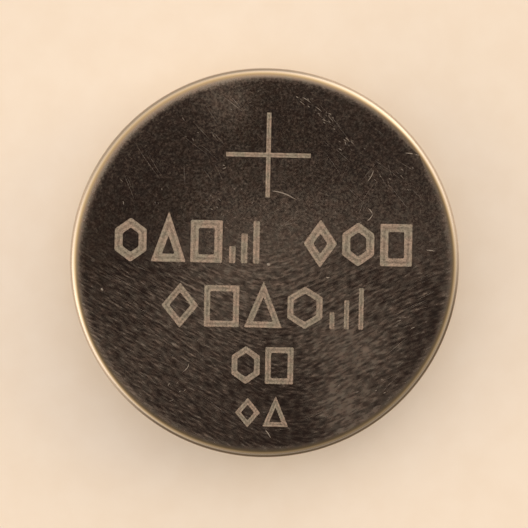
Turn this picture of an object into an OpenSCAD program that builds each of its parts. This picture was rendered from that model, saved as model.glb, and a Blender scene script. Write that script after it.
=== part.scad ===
// Lithium coin cell, 24.5 mm across and 5.0 mm high, in millimetres.
// The origin is the centre of the negative terminal face and +Z points up through the positive face,
// so the cell stands on its negative terminal. Every metal piece is drawn or stamped sheet, and the
// sections below are turned round the Z axis. The radius runs along x and the height along y.

/* [Cell] */
// Outside diameter of the cell
cell_d = 24.5; // [16:0.1:36]
// Height from terminal face to terminal face
cell_h = 5.0; // [4:0.1:8]

/* [Positive can] */
// Sheet thickness of the can
can_t = 0.25; // [0.15:0.01:0.35]
// Outside radius of the corner round the positive face
corner_r = 0.5; // [0.4:0.05:1]
// Outside radius of the bend that crimps the open edge inwards
crimp_r = 1.15; // [0.8:0.05:1.4]
// Straight run of the lip past the crimped bend
lip_run = 0.15; // [0.05:0.05:0.4]

/* [Negative cap] */
// Sheet thickness of the cap
cap_t = 0.25; // [0.15:0.01:0.35]
// Height of the terminal face over the crimped lip
cap_proud = 0.2; // [0.1:0.05:0.4]
// Outside radius of the edge of the terminal face
face_r = 0.4; // [0.36:0.01:0.42]
// Radius in the corner at the foot of the raised terminal
step_r = 0.2; // [0.1:0.01:0.22]
// Outside radius of the shoulder where the skirt begins
shoulder_r = 0.5; // [0.38:0.02:0.6]
// Gap inside the folded edge of the skirt
hem_gap = 0.06; // [0.02:0.01:0.12]
// Height of the folded edge
hem_h = 1.3; // [0.8:0.1:1.6]

/* [Gasket] */
// Wall between the can and the folded edge of the cap
gasket_wall = 0.4; // [0.3:0.05:0.6]
// Thickness under the folded edge
gasket_foot = 0.5; // [0.3:0.05:0.8]
// Thickness squeezed between the lip and the shoulder
gasket_pinch = 0.3; // [0.2:0.05:0.5]
// Thickness of the leg inside the skirt
gasket_leg = 0.3; // [0.2:0.05:0.5]
// Width of the ring that shows inside the lip
bead_w = 0.3; // [0.15:0.05:0.5]
// Depth of that ring below the face of the lip
bead_drop = 0.08; // [0.02:0.01:0.2]
// Radius of that ring's inner edge
bead_round = 0.1; // [0.04:0.01:0.14]
// Width of the groove between that ring and the raised terminal
groove_w = 0.75; // [0.4:0.05:2]

/* [Contents] */
// Thickness of the lithium disc
anode_t = 1.25; // [1.05:0.05:1.8]
// Clearance from the lithium disc to the round inside the cap
anode_gap = 0.05; // [0.02:0.01:0.5]
// Thickness of the separator sheet
separator_t = 0.15; // [0.08:0.01:0.25]
// Outside radius where the separator's rim turns
separator_r = 0.3; // [0.26:0.02:0.4]
// Clearance from the separator's rim to the cap's shoulder
rim_gap = 0.2; // [0.05:0.05:0.3]
// Radial clearance between the pellet and the gasket
pellet_gap = 0.25; // [0.1:0.05:0.6]
// Radius of the pellet's edges
pellet_r = 0.25; // [0.1:0.05:0.5]
// Clearance from the end of the gasket's leg to the pellet's lower face
leg_gap = 0.2; // [0.05:0.05:0.6]
// Thickness of the current collector
collector_t = 0.1; // [0.05:0.01:0.2]
// Plain margin from the collector's edge to the pellet's edge
collector_inset = 0.6; // [0.3:0.1:2]
// Long way across a diamond opening, centre to centre
mesh_long = 2.4; // [1.6:0.1:4]
// Short way across a diamond opening, centre to centre
mesh_short = 1.3; // [1:0.1:2.5]
// Width of the strands between the openings
strand_w = 0.3; // [0.2:0.05:0.5]

/* [Hidden] */
$fn = 96;
over = 1; // how far a cut runs past the material

// The can
can_r = cell_d / 2;
can_in_r = can_r - can_t;
can_floor = cell_h - can_t;
lip_z = cap_proud;
lip_top = lip_z + can_t;
lip_in_r = can_r - crimp_r - lip_run;

// The cap
shoulder_z = lip_top + gasket_pinch;
hem_out_r = can_in_r - gasket_wall;
hem_w = 2 * cap_t + hem_gap;
skirt_out_r = hem_out_r - cap_t - hem_gap;
skirt_in_r = skirt_out_r - cap_t;
hem_top = can_floor - gasket_foot;
fold_z = hem_top - hem_w / 2;
hem_end = hem_top - hem_h;
bead_r = lip_in_r - bead_w;
bead_z = lip_z + bead_drop;
terminal_r = bead_r - groove_w;

// What the cap and the can hold
anode_r = terminal_r - face_r - anode_gap;
separator_z = cap_t + anode_t;
pellet_z = separator_z + separator_t;
pellet_top = can_floor - collector_t;
leg_in_r = skirt_in_r - gasket_leg;
leg_end = pellet_z + leg_gap;
pellet_edge = leg_in_r - pellet_gap;
rim_end = shoulder_z + cap_t + rim_gap;
collector_edge = pellet_edge - collector_inset;

// The waste outside a rounded corner at [x, y]. side is 1 for a lower corner and -1 for an upper one.
module corner_waste(x, y, radius, side) {
    if (radius > 0) {
        difference() {
            translate([x - radius, min(y - side * over, y + side * radius)])
                square([radius + over, radius + over]);
            translate([x - radius, y + side * radius]) circle(r = radius);
        }
    }
}

// Half section of a round slab with rounded edges
module slab(x, y_low, y_high, r_low, r_high) {
    difference() {
        translate([0, y_low]) square([x, y_high - y_low]);
        corner_waste(x, y_low, r_low, 1);
        corner_waste(x, y_high, r_high, -1);
    }
}

// Outline of the can, moved inwards by inset
module can_outline(inset) {
    slab(can_r - inset, lip_z + inset, cell_h - inset, crimp_r - inset, corner_r - inset);
}

// Filled outline of the raised terminal, its step and the skirt, moved inwards by inset
module cap_outline(inset, top) {
    inner_r = terminal_r - inset;
    ledge = shoulder_z + inset;
    bend = step_r + inset;
    slab(inner_r, inset, top, face_r - inset, 0);
    slab(skirt_out_r - inset, ledge, top, shoulder_r - inset, 0);
    // the round at the foot of the step
    difference() {
        translate([inner_r - cap_t / 2, ledge - bend]) square([bend + cap_t / 2, bend + cap_t / 2]);
        translate([inner_r + bend, ledge - bend]) circle(r = bend);
    }
}

// A bar with a round upper end, between the radii x_in and x_out
module round_ended(x_in, x_out, y_low, y_high) {
    half = (x_out - x_in) / 2;
    translate([x_in, y_low]) square([2 * half, y_high - half - y_low]);
    translate([x_in + half, y_high - half]) circle(r = half);
}

// Section of the cap's sheet with its folded edge, before the slit inside the fold
module cap_envelope() {
    difference() {
        union() {
            cap_outline(0, fold_z);
            round_ended(skirt_in_r, hem_out_r, hem_end, hem_top);
        }
        cap_outline(cap_t, hem_top + over);
    }
}

module positive_can() {
    color("silver")
        rotate_extrude()
            difference() {
                can_outline(0);
                can_outline(can_t);
                square([lip_in_r, lip_top + over]);
            }
}

module negative_cap() {
    color("lightsteelblue")
        rotate_extrude()
            difference() {
                cap_envelope();
                round_ended(skirt_out_r, skirt_out_r + hem_gap, hem_end - over, fold_z + hem_gap / 2);
            }
}

// The ring of the gasket that shows inside the lip, round on its inner edge
module bead() {
    difference() {
        translate([bead_r, bead_z]) square([bead_w, shoulder_z - bead_z]);
        difference() {
            translate([bead_r - over, bead_z - over]) square(over + bead_round);
            translate([bead_r + bead_round, bead_z + bead_round]) circle(r = bead_round);
        }
    }
}

// Fills the can between its wall and the leg, less the cap and the room inside the cap.
// That room is cut along the middle of the cap's sheet, so that the leg stays.
module gasket() {
    color("whitesmoke")
        rotate_extrude()
            difference() {
                union() {
                    intersection() {
                        can_outline(can_t);
                        union() {
                            translate([bead_r, lip_top]) square([can_r, leg_end - lip_top]);
                            translate([leg_in_r, leg_end]) square([can_r, cell_h]);
                        }
                    }
                    bead();
                }
                cap_envelope();
                intersection() {
                    cap_outline(cap_t / 2, cell_h);
                    square([can_r, leg_end]);
                }
            }
}

module lithium_anode() {
    color("lightgray")
        rotate_extrude()
            slab(anode_r, cap_t, separator_z, 0, 0);
}

// A shallow cup whose rim turns towards the anode
module separator() {
    color("ivory")
        rotate_extrude()
            difference() {
                slab(pellet_edge, rim_end, pellet_z, 0, separator_r);
                slab(pellet_edge - separator_t, rim_end - over, separator_z, 0, separator_r - separator_t);
            }
}

module cathode_pellet() {
    color("dimgray")
        rotate_extrude()
            slab(pellet_edge, pellet_z, pellet_top, pellet_r, pellet_r);
}

// A disc pierced with staggered rows of diamond openings, whole ones only
module current_collector() {
    half_long = (mesh_long - strand_w) / 2;
    half_short = (mesh_short - strand_w) / 2;
    rows = ceil(2 * collector_edge / mesh_short);
    columns = ceil(collector_edge / mesh_long);
    color("slategray")
        translate([0, 0, pellet_top])
            linear_extrude(collector_t)
                difference() {
                    circle(r = collector_edge);
                    for (row = [-rows : rows], column = [-columns : columns]) {
                        x = (column + (row % 2 == 0 ? 0 : 0.5)) * mesh_long;
                        y = row * mesh_short / 2;
                        if (norm([abs(x) + half_long, y]) < collector_edge - strand_w
                            && norm([x, abs(y) + half_short]) < collector_edge - strand_w)
                            translate([x, y])
                                polygon([[half_long, 0], [0, half_short], [-half_long, 0], [0, -half_short]]);
                    }
                }
}

positive_can();
gasket();
negative_cap();
lithium_anode();
separator();
cathode_pellet();
current_collector();
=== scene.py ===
import math
import random
from functools import partial

import bmesh
import bpy
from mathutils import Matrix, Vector
from mathutils.geometry import delaunay_2d_cdt


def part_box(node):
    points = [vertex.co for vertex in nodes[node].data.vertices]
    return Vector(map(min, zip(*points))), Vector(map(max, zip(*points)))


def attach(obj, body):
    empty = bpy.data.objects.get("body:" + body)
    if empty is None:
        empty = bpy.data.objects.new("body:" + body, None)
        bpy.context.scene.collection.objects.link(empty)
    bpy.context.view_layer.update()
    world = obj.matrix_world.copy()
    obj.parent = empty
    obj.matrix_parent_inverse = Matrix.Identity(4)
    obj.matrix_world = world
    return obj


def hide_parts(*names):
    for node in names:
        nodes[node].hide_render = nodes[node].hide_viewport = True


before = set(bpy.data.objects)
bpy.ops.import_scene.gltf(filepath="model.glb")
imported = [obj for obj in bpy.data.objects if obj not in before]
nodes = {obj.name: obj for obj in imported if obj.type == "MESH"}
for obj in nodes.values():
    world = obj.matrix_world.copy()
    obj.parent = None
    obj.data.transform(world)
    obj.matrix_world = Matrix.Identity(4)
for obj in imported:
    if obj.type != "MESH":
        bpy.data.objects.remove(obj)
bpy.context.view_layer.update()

# A lithium coin cell that lies on its negative terminal, positive face up.
# Lengths in the dictionaries are millimetres, angles degrees, and azimuths anticlockwise from +X.
# Places on the face are from its middle; the face's height and the can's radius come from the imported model.
mm = 0.001
canLow, canHigh = (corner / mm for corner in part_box("positive_can"))
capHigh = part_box("negative_cap")[1] / mm
canRadius = canHigh.x
faceZ = canHigh.z


def linear(code):  # sRGB hex to linear RGBA
    parts = [int(code[i:i + 2], 16) / 255 for i in (1, 3, 5)]
    return [c / 12.92 if c <= 0.04045 else ((c + 0.055) / 1.055) ** 2.4 for c in parts] + [1.0]


def fromAngles(azimuth, elevation):
    a, e = math.radians(azimuth), math.radians(elevation)
    return Vector((math.cos(a) * math.cos(e), math.sin(a) * math.cos(e), math.sin(e)))


def addNode(tree, kind, sockets=None, **settings):
    # each socket takes a plain value, a node (its output in use) or one output of a node
    made = tree.nodes.new("ShaderNode" + kind)
    for key, value in settings.items():
        setattr(made, key, value)
    for key, value in (sockets or {}).items():
        target = next((s for s in made.inputs if s.enabled and s.name == key), None) or made.inputs[key]
        if isinstance(value, bpy.types.Node):
            value = next(s for s in value.outputs if s.enabled)
        if isinstance(value, bpy.types.NodeSocket):
            tree.links.new(value, target)
        else:
            target.default_value = value
    return made


def startMaterial(name):
    # an empty material, the call that adds nodes to it, and its surface point in millimetres
    material = bpy.data.materials.new(name)
    material.use_nodes = True
    material.node_tree.nodes.clear()
    add = partial(addNode, material.node_tree)
    coords = add("TexCoord")
    return material, add, add("VectorMath", {0: coords.outputs["Object"], "Scale": 1 / mm}, operation="SCALE")


def dressSurface(add, sockets):  # plain values go on the shader's own sockets
    add("OutputMaterial", {"Surface": add("BsdfPrincipled", sockets)})


def calc(add, operation, *values):
    return add("Math", dict(enumerate(values)), operation=operation)


def vectorCalc(add, operation, *vectors):
    return add("VectorMath", dict(enumerate(vectors)), operation=operation)


def ramp(add, value, start, end, low=0.0, high=1.0, shape="LINEAR"):
    # runs from low to high while the value runs from start to end
    sockets = {"Value": value, "From Min": start, "From Max": end, "To Min": low, "To Max": high}
    return add("MapRange", sockets, interpolation_type=shape)


easedRamp = partial(ramp, shape="SMOOTHSTEP")


def blend(add, share, first, second):
    return add("Mix", {"Factor": share, "A": first, "B": second}, data_type="FLOAT")


def blendTones(add, share, first, second):
    return add("Mix", {"Factor": share, "A": first, "B": second}, data_type="RGBA")


def noise(add, place, size, detail=2.0, roughness=0.5):
    return add("TexNoise", {"Vector": place, "Scale": 1 / size, "Detail": detail, "Roughness": roughness})


def streaks(add, along, across, spacing, length, detail=2.0):
    # noise squeezed across and stretched along, both in millimetres
    squeezed, stretched = calc(add, "DIVIDE", across, spacing), calc(add, "DIVIDE", along, length)
    place = add("CombineXYZ", {"X": squeezed, "Y": stretched})
    return noise(add, place, size=1.0, detail=detail, roughness=0.55)


def bumpFrom(add, height, depth):
    return add("Bump", {"Height": height, "Strength": 1.0, "Distance": depth * mm})


def arc(centre, radius, start, end, steps):
    turns = [math.radians(start + (end - start) * i / steps) for i in range(steps + 1)]
    return [(centre[0] + radius * math.cos(t), centre[1] + radius * math.sin(t)) for t in turns]


def turnSection(bm, section, segments):
    # turns a section, a list of (radius, height) points, about the upright axis
    rings = []
    for radius, height in section:
        if radius == 0:
            rings.append([bm.verts.new((0, 0, height * mm))] * segments)
        else:
            angles = (math.tau * i / segments for i in range(segments))
            rings.append([bm.verts.new((radius * mm * math.cos(a), radius * mm * math.sin(a), height * mm))
                          for a in angles])
    for low, high in zip(rings, rings[1:]):
        for i in range(segments):
            j = (i + 1) % segments
            corners = dict.fromkeys((low[i], low[j], high[j], high[i]))  # a vertex on the axis counts once
            bm.faces.new(list(corners))


def finishMesh(bm, name, materials, body="root", sharpAngle=32):
    bmesh.ops.remove_doubles(bm, verts=bm.verts, dist=1e-4 * mm)
    bmesh.ops.recalc_face_normals(bm, faces=bm.faces)
    mesh = bpy.data.meshes.new(name)
    bm.to_mesh(mesh)
    bm.free()
    for material in materials:
        mesh.materials.append(material)
    for polygon in mesh.polygons:
        polygon.use_smooth = True
    mesh.set_sharp_from_angle(angle=math.radians(sharpAngle))
    piece = bpy.data.objects.new(name, mesh)
    bpy.context.scene.collection.objects.link(piece)
    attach(piece, body)
    return piece


def curve(start, bend, end, steps):  # from start to end, drawn towards the bend
    return [tuple((1 - t) ** 2 * a + 2 * t * (1 - t) * b + t * t * c for a, b, c in zip(start, bend, end))
            for t in (i / steps for i in range(steps + 1))]


def softened(loop, radius, most=0.45, steps=4):
    # every corner of a closed outline becomes a short curve, over no more than that share of a side
    rounded = []
    for i, corner in enumerate(loop):
        before, after = loop[i - 1], loop[(i + 1) % len(loop)]
        ends = []
        for other in (before, after):
            length = math.dist(corner, other)
            reach = min(radius, length * most) / length
            ends.append([c + (o - c) * reach for c, o in zip(corner, other)])
        rounded += curve(ends[0], corner, ends[1], steps)
    return rounded


def offsetPath(path, distance, closed):  # mitred offset to the left of a path
    moved = []
    for i, point in enumerate(path):
        normals = []
        for a, b in ((i - 1, i), (i, i + 1)):
            if closed or (a >= 0 and b < len(path)):
                first, second = path[a % len(path)], path[b % len(path)]
                length = math.dist(first, second)
                normals.append(((first[1] - second[1]) / length, (second[0] - first[0]) / length))
        nx, ny = (sum(n[k] for n in normals) / len(normals) for k in (0, 1))
        scale = distance / (nx * nx + ny * ny)
        moved.append((point[0] + nx * scale, point[1] + ny * scale))
    return moved


def anticlockwise(loop):  # the triangulator takes the left side of an outline as its inside
    doubleArea = sum(ax * by - bx * ay for (ax, ay), (bx, by) in zip(loop, loop[1:] + loop[:1]))
    return loop if doubleArea > 0 else loop[::-1]


def circleLoop(radius, steps):
    return arc((0, 0), radius, 0, 360 - 360 / steps, steps - 1)


# Marks in the positive face: generic shapes stand where a cell carries its print, and the plus is the
# sign of the pole. A laser draws a stroke in two passes, so its middle, the core, stays less etched.
marking = {
    "depth": 0.012,           # how far the laser takes the plating down
    "plusCentre": (0.1, 6.75),
    "plusReach": 2.65,
    "plusStroke": 0.28,
    "core": 0.3,              # share of a stroke's width
    "plusCoreShorter": 0.1,   # how much sooner the plus's core ends
    "softness": 0.22,         # how far a corner is rounded, as a share of the stroke's width
    "widest": 0.84,           # share of its place that a shape may fill
    "bars": (0.4, 0.7, 1.0),  # three steps that rise to the right, as shares of the row's height
    "barStroke": 0.8,         # their share of the row's stroke
    "clear": 0.06,            # what scratches keep away from a mark
    "rows": [                 # None leaves a place empty
        {"y": 1.27, "height": 2.65, "stroke": 0.5, "from": -9.6, "to": 9.4,
         "shapes": ["hexagon", "triangle", "square", "steps", None, "diamond", "hexagon", "square"]},
        {"y": -2.76, "height": 2.6, "stroke": 0.38, "from": -6.55, "to": 6.5,
         "shapes": ["diamond", "square", "triangle", "hexagon", "steps"]},
        {"y": -6.42, "height": 2.3, "stroke": 0.36, "from": -2.1, "to": 2.1,
         "shapes": ["hexagon", "square"]},
        {"y": -9.39, "height": 1.7, "stroke": 0.28, "from": -1.75, "to": 1.75,
         "shapes": ["diamond", "triangle"]},
    ],
}


def plusLoop(centre, reach, half):
    arm = [(half, reach), (half, half), (reach, half)]
    loop = []
    for quarter in range(4):
        c, s = math.cos(-quarter * math.pi / 2), math.sin(-quarter * math.pi / 2)
        loop += [(centre[0] + x * c - y * s, centre[1] + x * s + y * c) for x, y in arm]
    return loop


def strokeLoops(path, width, core, closed):
    loops = []
    for half in (width / 2, core / 2):
        left, right = (offsetPath(path, side * half, closed) for side in (1, -1))
        if closed:
            loops += [left, right]
        else:
            loops.append(left + right[::-1])
    return [softened(loop, width * marking["softness"]) for loop in loops]


def markShape(kind, x, y, width, height, stroke):
    w, h, core = (width - stroke) / 2, (height - stroke) / 2, stroke * marking["core"]
    outlines = {
        "hexagon": [(0, h), (-w, h / 2), (-w, -h / 2), (0, -h), (w, -h / 2), (w, h / 2)],
        "diamond": [(0, h), (-w, 0), (0, -h), (w, 0)],
        "triangle": [(0, h), (-w, -h), (w, -h)],
        "square": [(-w, h), (-w, -h), (w, -h), (w, h)],
    }
    if kind in outlines:
        return strokeLoops([(x + dx, y + dy) for dx, dy in outlines[kind]], stroke, core, closed=True)
    loops, foot = [], y - h - stroke / 2
    for i, share in enumerate(marking["bars"]):
        bar = [(x + (i - 1) * w, foot), (x + (i - 1) * w, foot + height * share)]
        loops += strokeLoops(bar, stroke * marking["barStroke"], core, closed=False)
    return loops


def markLoops():
    loops = []
    for share, shorter in ((1.0, 0.0), (marking["core"], marking["plusCoreShorter"])):
        half = marking["plusStroke"] * share / 2
        loops.append(plusLoop(marking["plusCentre"], marking["plusReach"] - shorter, half))
    for row in marking["rows"]:
        pitch = (row["to"] - row["from"]) / len(row["shapes"])
        width = min(pitch * marking["widest"], row["height"])
        for i, kind in enumerate(row["shapes"]):
            if kind:
                middle = row["from"] + pitch * (i + 0.5)
                loops += markShape(kind, middle, row["y"], width, row["height"], row["stroke"])
    return loops


# Single nicks: where each begins, bends and ends, and how wide it is
nicks = {
    "depth": 0.004,
    "steps": 8,
    "fullness": 0.6,  # below 1, it is wide over more of its length
    "paths": [
        {"points": [(0.3, 4.5), (1.1, 4.5), (1.95, 3.95)], "width": 0.06},
        {"points": [(8.6, 7.05), (9.2, 7.05), (9.55, 6.9)], "width": 0.06},
        {"points": [(6.3, 5.2), (6.6, 5.5), (6.7, 5.95)], "width": 0.045},
        {"points": [(6.4, 3.55), (6.6, 3.4), (6.7, 3.2)], "width": 0.05},
        {"points": [(6.7, 3.2), (6.6, 2.9), (6.35, 2.75)], "width": 0.045},
        {"points": [(0.25, -10.45), (0.5, -10.7), (0.6, -10.95)], "width": 0.06},
        {"points": [(0.15, -0.05), (0.25, -0.1), (0.35, -0.15)], "width": 0.17},
        {"points": [(-10.2, -1.8), (-10.15, -1.85), (-10.1, -1.95)], "width": 0.11},
        {"points": [(-2.75, 5.8), (-2.65, 5.85), (-2.5, 5.95)], "width": 0.03},
        {"points": [(-2.9, 10.4), (-2.1, 9.85), (-1.6, 9.45)], "width": 0.02},
        {"points": [(-2.35, 10.4), (-1.95, 10.0), (-1.7, 9.6)], "width": 0.016},
        {"points": [(2.1, 10.4), (2.45, 10.3), (2.7, 10.05)], "width": 0.035},
        {"points": [(2.95, 9.85), (3.2, 9.7), (3.4, 9.5)], "width": 0.03},
        {"points": [(3.75, 9.3), (4.0, 9.1), (4.1, 8.9)], "width": 0.025},
        {"points": [(-5.0, -6.95), (-4.6, -6.7), (-4.6, -6.35)], "width": 0.04},
        {"points": [(3.85, -0.8), (3.95, -0.9), (4.1, -0.8)], "width": 0.06},
        {"points": [(10.1, 1.0), (10.4, 1.0), (10.65, 0.95)], "width": 0.05},
    ],
}

# Hairline scratches, scattered: middle of each patch, its spread, their lean and how many
hairs = {
    "seed": 24,
    "length": (0.6, 2.6),
    "width": (0.006, 0.012),
    "patches": [((-3.2, 9.0), 1.5, -48, 16), ((3.6, 8.6), 1.7, -42, 16), ((7.4, 5.4), 1.5, -48, 10),
                ((6.8, 4.4), 1.4, 62, 6), ((-7.0, 5.6), 1.8, -68, 10), ((2.4, 3.9), 1.6, 20, 6),
                ((-8.6, -2.6), 1.4, -30, 8), ((8.9, -1.6), 1.3, 22, 8), ((7.4, -5.6), 1.6, 34, 10),
                ((-5.2, -6.6), 1.9, -32, 10), ((-2.6, -8.4), 1.2, -44, 6), ((3.2, -9.6), 1.2, 18, 5)],
}

# Short scuffs, where the face has slid over something hard
scuffs = {
    "seed": 7,
    "length": (0.08, 0.28),
    "width": (0.016, 0.042),
    "patches": [((2.4, 10.2), 0.35, -40, 8), ((3.6, 9.1), 0.45, -40, 14), ((5.0, 7.6), 0.4, -45, 12),
                ((-2.2, 8.6), 1.3, -48, 16), ((-1.5, 5.6), 0.6, -10, 9), ((-3.3, 3.8), 0.6, -30, 7),
                ((1.7, 5.5), 0.8, -15, 12), ((7.8, 5.4), 0.9, -40, 12), ((-8.2, 3.6), 1.1, -60, 6),
                ((-5.6, -8.0), 1.0, 50, 8), ((6.6, -7.4), 1.2, 30, 8), ((8.6, -3.4), 0.9, 20, 6)],
}

# How both kinds are strewn over their patches
strewn = {
    "flatter": 0.7,      # height of a patch as a share of its width
    "leanSpread": 9,
    "bendSpread": 0.04,  # as a share of half the length
    "limit": 11.1,       # the farthest from the centre that one may reach
}


def scattered(scars, markBoxes):  # straight or barely bent, and never across a mark
    chance = random.Random(scars["seed"])
    paths = []
    for (x, y), spread, lean, count in scars["patches"]:
        for _ in range(count):
            middle = (chance.gauss(x, spread), chance.gauss(y, spread * strewn["flatter"]))
            turn = math.radians(chance.gauss(lean, strewn["leanSpread"]))
            half = chance.uniform(*scars["length"]) / 2
            bend, width = chance.gauss(0, strewn["bendSpread"]), chance.uniform(*scars["width"])
            dx, dy = half * math.cos(turn), half * math.sin(turn)
            points = [(middle[0] - dx, middle[1] - dy), (middle[0] - dy * bend, middle[1] + dx * bend),
                      (middle[0] + dx, middle[1] + dy)]
            crossed = any(x0 < max(p[0] for p in points) and min(p[0] for p in points) < x1
                          and y0 < max(p[1] for p in points) and min(p[1] for p in points) < y1
                          for x0, y0, x1, y1 in markBoxes)
            if not crossed and max(math.hypot(*p) for p in points) < strewn["limit"]:
                paths.append({"points": points, "width": width})
    return paths


def nickLoops(paths):  # a nick is a bent lens: pointed at both ends
    loops = []
    steps = nicks["steps"]
    for nick in paths:
        spine = curve(*nick["points"], steps)
        sides = {1: [], -1: []}
        for i in range(1, steps):
            (ax, ay), (bx, by) = spine[i - 1], spine[i + 1]
            length = math.dist(spine[i - 1], spine[i + 1])
            half = nick["width"] / 2 * math.sin(math.pi * i / steps) ** nicks["fullness"]
            for side in sides:
                sides[side].append((spine[i][0] - (by - ay) / length * half * side,
                                    spine[i][1] + (bx - ax) / length * half * side))
        loops.append([spine[0]] + sides[1] + [spine[-1]] + sides[-1][::-1])
    return loops


can = {
    "wall": 0.25,         # sheet thickness
    "corner": 0.5,        # outside radius round the face
    "shoulder": 0.3,      # width of the gentle fall that buffing leaves before the corner
    "shoulderTilt": 6.0,  # how steep it gets
    "shoulderSteps": 6,
    "plainRing": 0.04,    # kept whole at the edge of the flat face, so that it shades evenly
    "crimp": 1.15,        # outside radius of the crimped bend
    "lipRun": 0.15,       # straight lip past the bend
    "segments": 288,
}
plainSlot, etchedSlot, coreSlot, nickSlot = range(4)  # the can's materials


def markedFace(bm, edgeRadius):
    # a flat disc with every mark and scratch sunk into it
    points, outlines = [], []
    rim = circleLoop(edgeRadius, can["segments"])
    ring = circleLoop(edgeRadius - can["plainRing"], can["segments"])
    marks, clear = markLoops(), marking["clear"]
    markBoxes = [(min(x for x, _ in loop) - clear, min(y for _, y in loop) - clear,
                  max(x for x, _ in loop) + clear, max(y for _, y in loop) + clear) for loop in marks]
    scars = nickLoops(nicks["paths"] + scattered(hairs, markBoxes) + scattered(scuffs, markBoxes))
    for loop in [rim, ring] + marks + scars:
        first = len(points)
        points += [Vector(p) for p in anticlockwise(loop)]
        outlines.append(list(range(first, first + len(loop))))
    edges = [(loop[i - 1], loop[i]) for loop in outlines for i in range(len(loop))]
    everyTriangle, weld = 0, 1e-6  # the kind of output, and how close points are joined
    points, _, triangles, _, _, owners = delaunay_2d_cdt(points, edges, outlines, everyTriangle, weld)
    firstMark, firstScar = 2, 2 + len(marks)

    def groundOf(owner):  # material and depth of a triangle, from the outlines that hold it
        if any(loop >= firstScar for loop in owner):
            return nickSlot, nicks["depth"]
        around = sum(firstMark <= loop < firstScar for loop in owner)
        slot = {1: etchedSlot, 2: coreSlot, 3: etchedSlot}.get(around, plainSlot)  # 4: a shape's open middle
        return slot, 0 if slot == plainSlot else marking["depth"]

    verts, sides = {}, {}

    def vertAt(index, depth):
        if (index, depth) not in verts:
            x, y = points[index]
            verts[index, depth] = bm.verts.new((x * mm, y * mm, (faceZ - depth) * mm))
        return verts[index, depth]

    for triangle, owner in zip(triangles, owners):
        slot, depth = groundOf(owner)
        bm.faces.new([vertAt(i, depth) for i in triangle]).material_index = slot
        for i in range(3):
            a, b = triangle[i], triangle[(i + 1) % 3]
            sides.setdefault((min(a, b), max(a, b)), []).append(depth)
    for (a, b), depths in sides.items():  # the low walls of each mark
        if len(depths) == 2 and depths[0] != depths[1]:
            high, low = min(depths), max(depths)
            wall = bm.faces.new([vertAt(a, high), vertAt(b, high), vertAt(b, low), vertAt(a, low)])
            wall.material_index = etchedSlot if low == marking["depth"] else nickSlot


def positiveCan(materials):
    wall, corner, crimp, shoulder = can["wall"], can["corner"], can["crimp"], can["shoulder"]
    low, lipRadius = canLow.z, canRadius - crimp - can["lipRun"]
    crimpCentre = (canRadius - crimp, low + crimp)
    tilt = math.radians(can["shoulderTilt"])
    flatEdge = canRadius - corner * (1 - math.sin(tilt)) - shoulder
    fall = shoulder * tilt / 2
    shares = (i / can["shoulderSteps"] for i in range(can["shoulderSteps"]))
    section = [(flatEdge + shoulder * t, faceZ - fall * t * t) for t in shares]
    cornerCentre = (canRadius - corner, faceZ - fall - corner * math.cos(tilt))
    section += arc(cornerCentre, corner, 90 - can["shoulderTilt"], 0, steps=18)
    section += arc(crimpCentre, crimp, 0, -90, steps=22)
    section += [(lipRadius, low), (lipRadius, low + wall)]
    section += arc(crimpCentre, crimp - wall, -90, 0, steps=14)
    section += arc((canRadius - corner, faceZ - corner), corner - wall, 0, 90, steps=8)
    section.append((0, faceZ - wall))
    bm = bmesh.new()
    turnSection(bm, section, can["segments"])
    markedFace(bm, flatEdge)
    piece = finishMesh(bm, "canShell", materials)
    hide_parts("positive_can")
    print("can: %d faces" % len(piece.data.polygons))
    return piece


cap = {
    "wall": 0.25,         # sheet thickness
    "terminalRadius": 9.9,
    "edge": 0.4,          # outside radius round the terminal face
    "step": 0.2,          # radius in the corner at the foot of the terminal
    "shoulder": 0.5,      # outside radius where the skirt begins
    "shoulderZ": 0.75,    # height of the ledge between the two
    "skirtRadius": 11.29,
    "slit": 0.06,         # gap left inside the folded edge
    "hem": 1.3,           # height of the folded edge
    "segments": 256,
}


def negativeCap(material):
    wall, radius, edge, step = cap["wall"], cap["terminalRadius"], cap["edge"], cap["step"]
    skirt, slit, shoulder, ledge = cap["skirtRadius"], cap["slit"], cap["shoulder"], cap["shoulderZ"]
    top = capHigh.z
    fold = (2 * wall + slit) / 2
    edgeCentre, stepCentre = (radius - edge, edge), (radius + step, ledge - step)
    shoulderCentre, foldCentre = (skirt - shoulder, ledge + shoulder), (skirt + slit / 2, top - fold)
    section = [(0, 0)]
    section += arc(edgeCentre, edge, -90, 0, steps=10)
    section += arc(stepCentre, step, 180, 90, steps=8)
    section += arc(shoulderCentre, shoulder, -90, 0, steps=12)
    section += arc(foldCentre, slit / 2, 180, 0, steps=8)
    section += [(skirt + slit, top - cap["hem"]), (skirt + slit + wall, top - cap["hem"])]
    section += arc(foldCentre, fold, 0, 180, steps=16)
    section += arc(shoulderCentre, shoulder - wall, 0, -90, steps=8)
    section += arc(stepCentre, step + wall, 90, 180, steps=10)
    section += arc(edgeCentre, edge - wall, 0, -90, steps=6)
    section.append((0, wall))
    bm = bmesh.new()
    turnSection(bm, section, cap["segments"])
    piece = finishMesh(bm, "capShell", [material])
    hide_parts("negative_cap")
    print("cap: %d faces" % len(piece.data.polygons))
    return piece


# The wheel that last touched the face left lines that fall, run level and rise again, flatter at the right
wheel = {
    "slope": 0.65,           # how steep the lines get at both sides
    "levelHalf": 3.0,        # half the width of their level middle
    "lean": 0.22,            # how far the middle moves right for each millimetre down
    "flatterFrom": 3.0,      # right of this the lines flatten
    "flatter": 0.02,         # with the square of the way past it
    "spacing": 0.155,        # real grit lines are 0.02 apart: drawn coarse enough to show
    "length": 0.52,
    "second": {"wider": 1.6, "longer": 5, "share": 0.25},  # longer lines among the short ones
    "contrast": (0.17, 0.83),
}

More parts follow.
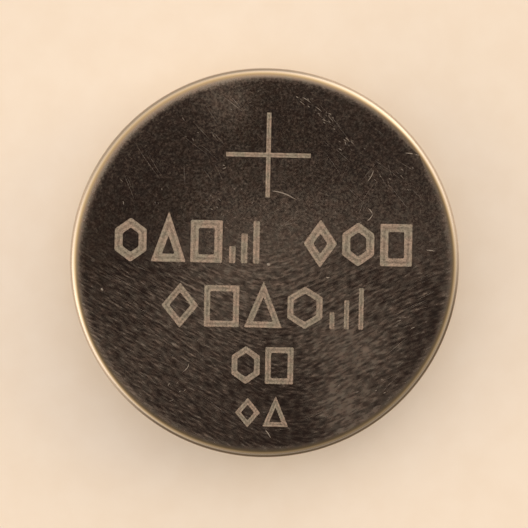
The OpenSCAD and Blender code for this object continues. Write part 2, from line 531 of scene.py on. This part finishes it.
# Dents from other cells in the same tray have no direction, and are alone on the upper part
flecks = {
    "size": 0.15,            # also drawn coarse
    "range": (0.12, 0.88),
    "fade": (4.0, -2.0),     # from here down, the wheel's lines come in
    "most": 0.76,            # and take this share
}


def faceGrain(add, point, x, y):
    leaning = calc(add, "MULTIPLY_ADD", y, wheel["lean"], x)
    distance = vectorCalc(add, "LENGTH", add("CombineXYZ", {"X": leaning, "Y": wheel["levelHalf"]}))
    past = calc(add, "MAXIMUM", calc(add, "SUBTRACT", x, wheel["flatterFrom"]), 0.0)
    across = calc(add, "MULTIPLY_ADD", distance, -wheel["slope"], y)
    across = calc(add, "MULTIPLY_ADD", calc(add, "MULTIPLY", past, past), wheel["flatter"], across)
    spacing, length, second = wheel["spacing"], wheel["length"], wheel["second"]
    short = streaks(add, x, across, spacing, length, detail=1.0)
    long = streaks(add, x, across, spacing * second["wider"], length * second["longer"], detail=1.0)
    lines = ramp(add, blend(add, second["share"], short, long), *wheel["contrast"])
    dents = ramp(add, noise(add, point, flecks["size"], roughness=0.6), 0.0, 1.0, *flecks["range"])
    return blend(add, easedRamp(add, y, *flecks["fade"], high=flecks["most"]), dents, lines)


plate = {
    "tints": ("#D1BFBA", "#CAC1BE"),  # nickel is warmer than steel; a trace of film makes it patchy
    "filmSize": 0.5,
    "filmContrast": (0.35, 0.65),
    "paintedHighlightTints": ("#D6BF98", "#DACDBF"),  # painted highlight colour: yellower where the corner begins and paler further out, so its highlight is golden at the inner edge and whiter in the core
    "paintedHighlightFade": (0.41, 0.25),  # how far inside the outline one gives way to the other
    "faceEnds": (0.65, 0.3),     # and where the finish of the face starts to give way and has gone
    "wallBegins": (0.3, 0.7),    # how far below the face the wall's finish starts and is full
    "wallTint": "#CCC8C2",
    "roughness": 0.11,           # as it leaves the rolls
    "grainDepth": 0.42,          # how far the grain moves the roughness
    "deepest": (0.68, 0.8),      # the few deepest scratches of the grain
    "glint": 0.05,               # roughness that they add
    "smoothest": 0.05,
    "bump": 0.0006,
    # places rubbed duller: centre, reach across and down, roughness added
    "rubbed": [((-1.0, -1.0), (9.0, 12.0), 0.14), ((6.0, -6.0), (6.0, 6.0), 0.15),
               ((5.0, -9.5), (3.5, 3.0), 0.11), ((-9.0, -9.0), (10.0, 14.0), 0.095),
               ((4.5, 7.5), (6.5, 8.0), 0.025), ((-0.5, -10.0), (5.0, 3.0), 0.055),
               ((8.0, 1.0), (10.0, 8.0), 0.1), ((-2.5, 10.0), (3.0, 3.0), 0.07)],
    # and all round by the corner, most towards one azimuth: the lobe is two cosines of the angle to it,
    # where it starts and is full, and the reach is how far inside the outline the band starts and is full
    "edgeRubbed": {"least": 0.07, "most": 0.15, "azimuth": 134.0, "lobe": (0.7, 0.97), "reach": (1.0, 0.65)},
    "cornerRoughness": 0.1,      # drawn over the punch, so it stays brighter than the face
    "wallRoughness": 0.2,
    "wallDepth": 0.36,           # how far the lines on the wall move its roughness
    "wallRelief": 4.0,           # how much deeper they are than the grain of the face
    "drawn": (0.11, 3.5),        # faint upright lines from drawing: spacing and length
    "turned": (0.05, 9.0),       # rings where the crimping die turned the edge in
    "crimped": (1.7, 1.1),       # the heights between which the rings take over
}


def faceRoughness(add, flat, outward, radius, grain):
    # as rolled, moved by the grain, rubbed in places, and rougher in the deepest scratches
    middle = plate["roughness"] - 0.5 * plate["grainDepth"]
    face = calc(add, "MULTIPLY_ADD", grain, plate["grainDepth"], middle)
    for centre, reach, added in plate["rubbed"]:
        away = vectorCalc(add, "SUBTRACT", flat, (*centre, 0.0))
        away = vectorCalc(add, "LENGTH", vectorCalc(add, "DIVIDE", away, (*reach, 1.0)))
        face = calc(add, "ADD", face, easedRamp(add, away, 1.0, 0.0, high=added))
    band = plate["edgeRubbed"]
    facing = vectorCalc(add, "DOT_PRODUCT", outward, fromAngles(band["azimuth"], 0))
    strength = easedRamp(add, facing, *band["lobe"], band["least"], band["most"])
    start, full = (canRadius - reach for reach in band["reach"])
    face = calc(add, "ADD", face, easedRamp(add, radius, start, full, high=strength))
    face = calc(add, "ADD", face, ramp(add, grain, *plate["deepest"], high=plate["glint"]))
    return calc(add, "MAXIMUM", face, plate["smoothest"])


def wallGrain(add, height, around):
    drawn = streaks(add, height, around, *plate["drawn"])
    turned = streaks(add, around, height, *plate["turned"])
    return blend(add, easedRamp(add, height, *plate["crimped"]), drawn, turned)


# A dark brown line of painted shade where the corner meets the wall, strongest on one side: it stands in for
# the shade that the can's outline reflects, and also makes the metal rougher and less metallic there
paintedEdgeShade = {
    "tint": "#4C3714",
    "top": (0.06, 0.14),     # below the face: where it starts and is full
    "foot": (0.33, 0.26),    # and where it ends and is still full
    "share": 0.2,            # all round
    # where there is more: azimuth, the cosines of the angle to it where that starts and is full, share added
    "sides": [(292.0, 0.15, 0.65, 0.7), (115.0, 0.6, 0.95, 0.4)],
    "roughness": 0.6,        # added
    "metal": 0.8,            # hidden
}


# how much of the painted shade line covers each point of the corner
def paintedShadeLine(add, height, outward):
    above = easedRamp(add, height, *(faceZ - depth for depth in paintedEdgeShade["top"]))
    below = easedRamp(add, height, *(faceZ - depth for depth in paintedEdgeShade["foot"]))
    share = paintedEdgeShade["share"]
    for azimuth, start, full, added in paintedEdgeShade["sides"]:
        facing = vectorCalc(add, "DOT_PRODUCT", outward, fromAngles(azimuth, 0))
        share = calc(add, "ADD", easedRamp(add, facing, start, full, high=added), share)
    return calc(add, "MULTIPLY", calc(add, "MULTIPLY", above, below), share)


def plateTone(add, point, radius, onFace, onWall, paintedShadeShare):
    film = ramp(add, noise(add, point, plate["filmSize"]), *plate["filmContrast"])
    face = blendTones(add, film, *(linear(code) for code in plate["tints"]))
    # painted highlight colour: the corner's tint runs from yellow to pale across it
    outer = ramp(add, radius, *(canRadius - width for width in plate["paintedHighlightFade"]))
    corner = blendTones(add, outer, *(linear(code) for code in plate["paintedHighlightTints"]))
    tone = blendTones(add, onFace, corner, face)
    tone = blendTones(add, onWall, tone, linear(plate["wallTint"]))
    # the painted shade line's dark brown goes over the plating's tone
    return blendTones(add, paintedShadeShare, tone, linear(paintedEdgeShade["tint"]))


def polishedNickelPlate():
    # Nickel-plated stainless sheet, rolled bright and scuffed in handling: a dark mirror under a fine grain
    material, add, point = startMaterial("polishedNickelPlate")
    split = add("SeparateXYZ", {0: point})
    x, y, height = (split.outputs[axis] for axis in "XYZ")
    flat = add("CombineXYZ", {"X": x, "Y": y})
    radius, outward = vectorCalc(add, "LENGTH", flat), vectorCalc(add, "NORMALIZE", flat)
    around = calc(add, "MULTIPLY", calc(add, "ARCTAN2", x, y), canRadius)
    grain, wallLines = faceGrain(add, point, x, y), wallGrain(add, height, around)
    onFace = easedRamp(add, radius, *(canRadius - width for width in plate["faceEnds"]), 1.0, 0.0)
    onWall = easedRamp(add, height, *(faceZ - depth for depth in plate["wallBegins"]))
    # the painted shade line at the foot of the corner
    paintedShadeShare = paintedShadeLine(add, height, outward)

    face = faceRoughness(add, flat, outward, radius, grain)
    wallMiddle = plate["wallRoughness"] - 0.5 * plate["wallDepth"]
    wall = calc(add, "MULTIPLY_ADD", wallLines, plate["wallDepth"], wallMiddle)
    roughness = blend(add, onWall, blend(add, onFace, plate["cornerRoughness"], face), wall)
    # the painted shade line is also rougher and less metallic
    roughness = calc(add, "MULTIPLY_ADD", paintedShadeShare, paintedEdgeShade["roughness"], roughness)
    metallic = calc(add, "MULTIPLY_ADD", paintedShadeShare, -paintedEdgeShade["metal"], 1.0)
    ridges = blend(add, onWall, calc(add, "MULTIPLY", grain, onFace),
                   calc(add, "MULTIPLY", wallLines, plate["wallRelief"]))
    tone = plateTone(add, point, radius, onFace, onWall, paintedShadeShare)
    dressSurface(add, {"Base Color": tone, "Metallic": metallic, "Roughness": roughness,
                       "Normal": bumpFrom(add, ridges, plate["bump"])})
    return material


etch = {
    "tints": ("#C9B3A3", "#BBB0A0"),  # heat leaves it between tan and olive
    "heatSize": 0.8,
    "heatContrast": (0.38, 0.62),
    "middle": 0.76,          # how bright the strip between two passes is beside the rest
    "metallic": 0.8,         # an oxide film over the metal
    "pulses": 0.075,         # their spacing: 0.03 in life, drawn coarse enough to show
    "pitRange": (0.32, 0.6),
    "pitLevels": (0.5, 1.08),    # brightness at the two ends of that
    "spreadRange": (0.3, 0.7),
    "spread": 0.1,           # of the roughness, either way
    "bump": 0.005,
}


def laserEtchedNickel(name, level, roughness):
    # Plating melted by a laser: an even frost, pale where the mirror round it is dark
    material, add, point = startMaterial(name)
    pulses = noise(add, point, etch["pulses"], roughness=0.6)
    heat = ramp(add, noise(add, point, etch["heatSize"], detail=1.0), *etch["heatContrast"])
    warm, cool = ([c * level for c in linear(code)[:3]] + [1.0] for code in etch["tints"])
    pits = ramp(add, pulses, *etch["pitRange"], *etch["pitLevels"])
    tone = add("VectorMath", {0: blendTones(add, heat, warm, cool), "Scale": pits}, operation="SCALE")
    spread = etch["spread"]
    shine = ramp(add, pulses, *etch["spreadRange"], roughness - spread, roughness + spread)
    dressSurface(add, {"Base Color": tone, "Metallic": etch["metallic"], "Roughness": shine,
                       "Normal": bumpFrom(add, pulses, etch["bump"])})
    return material


torn = {"tint": "#B0A498", "metallic": 0.7, "roughness": (0.5, 0.75), "size": 1 / 9}


def scratchedNickel():
    # A nick: torn metal that scatters light, a little paler than the mirror round it
    material, add, point = startMaterial("scratchedNickel")
    shine = ramp(add, noise(add, point, torn["size"]), 0.0, 1.0, *torn["roughness"])
    dressSurface(add, {"Base Color": linear(torn["tint"]), "Metallic": torn["metallic"], "Roughness": shine})
    return material


satin = {
    "tint": "#CDC6BA",
    "lines": (0.12, 6.0),    # spacing and length
    "contrast": (0.3, 0.7),
    "roughness": (0.22, 0.38),
    "bump": 0.002,
}


def satinNickelPlate():
    # The cap's plating as rolled: soft, even reflections with faint lines along the sheet
    material, add, point = startMaterial("satinNickelPlate")
    split = add("SeparateXYZ", {0: point})
    lines = streaks(add, split.outputs["X"], split.outputs["Y"], *satin["lines"])
    shine = ramp(add, lines, *satin["contrast"], *satin["roughness"])
    dressSurface(add, {"Base Color": linear(satin["tint"]), "Metallic": 1.0, "Roughness": shine,
                       "Normal": bumpFrom(add, lines, satin["bump"])})
    return material


mottled = {"detail": 4.0, "contrast": (0.35, 0.65), "spread": 0.08}


def grainedMaterial(name, colours, size, roughness, metallic, bump, stretch):
    # two close colours mottled together at the grain's real size in millimetres
    material, add, point = startMaterial(name)
    place = vectorCalc(add, "MULTIPLY", point, (1 / stretch, 1.0, 1.0))
    grain = noise(add, place, size, mottled["detail"])
    tone = blendTones(add, ramp(add, grain, *mottled["contrast"]), *(linear(code) for code in colours))
    spread = mottled["spread"]
    shine = ramp(add, grain, 0.0, 1.0, roughness - spread, roughness + spread)
    dressSurface(add, {"Base Color": tone, "Metallic": metallic, "Roughness": shine,
                       "Normal": bumpFrom(add, grain, bump)})
    return material


print("materials")
positiveCan([polishedNickelPlate(), laserEtchedNickel("laserEtchedNickel", level=1.0, roughness=0.55),
             laserEtchedNickel("laserEtchedMiddle", level=etch["middle"], roughness=0.5), scratchedNickel()])
negativeCap(satinNickelPlate())

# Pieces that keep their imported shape
dressed = {
    # moulded polypropylene: milky, waxy white with a soft shine
    "gasket": {"name": "mouldedPolypropylene", "colours": ("#E4E0D2", "#DAD5C6"), "size": 0.6,
               "roughness": 0.38, "metallic": 0.0, "bump": 0.004, "stretch": 1.0},
    # punched lithium foil: soft grey metal with a dull bloom
    "lithium_anode": {"name": "punchedLithium", "colours": ("#B8B8BA", "#A4A4A9"), "size": 0.8,
                      "roughness": 0.5, "metallic": 1.0, "bump": 0.01, "stretch": 3.0},
    # spun-bonded polypropylene: matt white felt of crossing fibres
    "separator": {"name": "spunPolypropylene", "colours": ("#EFEDE4", "#DEDACD"), "size": 0.15,
                  "roughness": 0.85, "metallic": 0.0, "bump": 0.02, "stretch": 4.0},
    # pressed oxide and graphite: sooty black with a faint grey sparkle
    "cathode_pellet": {"name": "pressedManganeseOxide", "colours": ("#1E1D1D", "#2B2A2A"), "size": 0.12,
                       "roughness": 0.75, "metallic": 0.0, "bump": 0.015, "stretch": 1.0},
    # expanded stainless sheet: bright strands, slightly drawn
    "current_collector": {"name": "expandedStainless", "colours": ("#BDBCB8", "#A9A8A5"), "size": 0.3,
                          "roughness": 0.32, "metallic": 1.0, "bump": 0.004, "stretch": 4.0},
}
for nodeName, recipe in dressed.items():
    nodes[nodeName].material_slots[0].material = grainedMaterial(**recipe)
print("carried-over pieces: %d" % len(dressed))

# uncoated paper: matt, with a soft cloudy formation a few millimetres across
paper = {"name": "uncoatedPaper", "colours": ("#F5E5D3", "#F3E2CF"), "size": 2.2, "roughness": 0.88,
         "metallic": 0.0, "bump": 0.01, "stretch": 1.0}
floorSize = 1500.0
floorDrop = 0.003  # so that it and the terminal aren't in one plane


def floorSheet():
    half = floorSize / 2 * mm
    mesh = bpy.data.meshes.new("paperFloor")
    corners = [(-half, -half, 0), (half, -half, 0), (half, half, 0), (-half, half, 0)]
    mesh.from_pydata(corners, [], [(0, 1, 2, 3)])
    floor = bpy.data.objects.new("paperFloor", mesh)
    floor.location.z = -floorDrop * mm
    bpy.context.scene.collection.objects.link(floor)
    mesh.materials.append(grainedMaterial(**paper))


# A plain room: an unlit ceiling straight above, one pale side, and two low windows.
# A height here is the sine of the elevation.
room = {
    "wall": "#FFEBCD",           # the tint of everything around the table
    "ceiling": "#FFDAC8",        # the unlit ceiling is browner
    "window": "#FFF1DE",         # and daylight whiter
    "wallFrom": 0.12,            # brightness at which the wall's tint is full
    "daylightFrom": (0.7, 1.5),  # brightness at which the window's tint starts and is full
    "ceilingLevel": 0.027,       # nothing but a trace of light
    "ceilingEdge": (0.996, 0.962),  # heights where it starts to give way and has gone
    "base": 0.24,                # how bright the dim side of the room is
    "baseFade": (0.99, 0.7),     # heights where that starts and is full
    "paleSide": 0.52,            # added on one side, from near the ceiling to the table
    "paleAzimuth": 120.0,
    "paleFade": (0.06, 0.26),    # cosines of the angle to it where it starts and is full
    "furniture": (0.4, 0.5),     # height of what stands on that side, and the share it leaves at the table
    # two low windows: azimuth, elevation, brightness, and how tight each one is
    "windows": [(42.0, 2.0, 1.65, 3.1), (203.0, 0.0, 1.9, 4.4)],
}


def roomWorld():
    world = bpy.data.worlds.new("room")
    bpy.context.scene.world = world
    world.use_nodes = True
    world.node_tree.nodes.clear()
    add = partial(addNode, world.node_tree)
    direction = add("TexCoord").outputs["Generated"]
    height = add("SeparateXYZ", {0: direction}).outputs["Z"]
    level = easedRamp(add, height, *room["baseFade"], high=room["base"])
    towards = vectorCalc(add, "DOT_PRODUCT", direction, fromAngles(room["paleAzimuth"], 0))
    pale = easedRamp(add, towards, *room["paleFade"], high=room["paleSide"])
    top, left = room["furniture"]
    level = calc(add, "MULTIPLY_ADD", pale, easedRamp(add, height, 0.0, top, left), level)
    for azimuth, elevation, brightness, tightness in room["windows"]:
        near = vectorCalc(add, "DOT_PRODUCT", direction, fromAngles(azimuth, elevation))
        power = calc(add, "MULTIPLY_ADD", near, tightness, -tightness)
        glow = calc(add, "MULTIPLY", calc(add, "EXPONENT", power), brightness)
        level = calc(add, "ADD", level, glow)
    clear = easedRamp(add, height, *room["ceilingEdge"])
    level = calc(add, "MULTIPLY_ADD", level, clear, room["ceilingLevel"])
    ceiling, wall, window = (linear(room[name]) for name in ("ceiling", "wall", "window"))
    tint = blendTones(add, ramp(add, level, 0.0, room["wallFrom"]), ceiling, wall)
    tint = blendTones(add, ramp(add, level, *room["daylightFrom"]), tint, window)
    add("OutputWorld", {"Surface": add("Background", {"Color": tint, "Strength": level})})


# A level is the share of full light that a lamp gives a sheet that faces it, and colours are linear
lamps = {
    "fillLamp": {"azimuth": 84, "elevation": 85, "distance": 900, "size": 1500, "level": 0.425,
                 "colour": (0.81, 1.01, 1.34)},
    "leftLamp": {"azimuth": 172, "elevation": 26, "distance": 900, "size": 420, "level": 0.06,
                 "colour": (1.3, 1.0, 0.5)},
    "rightLamp": {"azimuth": 14, "elevation": 26, "distance": 900, "size": 420, "level": 0.11,
                  "colour": (1.3, 1.0, 0.5)},
}


def softLamp(name, azimuth, elevation, distance, size, level, colour):
    light = bpy.data.lights.new(name, "AREA")
    light.shape = "DISK"
    light.size = size * mm
    light.energy = level * math.pi * (distance * mm) ** 2 * math.pi
    light.color = colour
    lamp = bpy.data.objects.new(name, light)
    away = fromAngles(azimuth, elevation)
    lamp.location = away * distance * mm
    lamp.rotation_mode = "QUATERNION"
    lamp.rotation_quaternion = away.to_track_quat("Z", "Y")
    lamp.visible_camera = False
    lamp.visible_glossy = False  # it only fills: what the metal shows is the room
    bpy.context.scene.collection.objects.link(lamp)


floorSheet()
roomWorld()
for lampName, settings in lamps.items():
    softLamp(lampName, **settings)
print("stage and lights")

view = {
    "lens": 100.0,
    "sensor": 36.0,
    "clip": (1.0, 5000.0),
    "fieldWidth": 33.22,     # seen at the height of the can's outline
    "aim": (-0.035, -0.079),
    "roll": 1.2,
}
cameraData = bpy.data.cameras.new("camera")
cameraData.lens, cameraData.sensor_width = view["lens"], view["sensor"]
cameraData.clip_start, cameraData.clip_end = (reach * mm for reach in view["clip"])
camera = bpy.data.objects.new("camera", cameraData)
widest = faceZ - can["corner"]  # height of the can's outline
distance = view["fieldWidth"] * view["lens"] / view["sensor"]
camera.location = (view["aim"][0] * mm, view["aim"][1] * mm, (widest + distance) * mm)
camera.rotation_euler = (0, 0, math.radians(view["roll"]))
bpy.context.scene.collection.objects.link(camera)
bpy.context.scene.camera = camera
bpy.context.scene.view_settings.view_transform = "Standard"
print("camera %.1f mm above the cell" % distance)
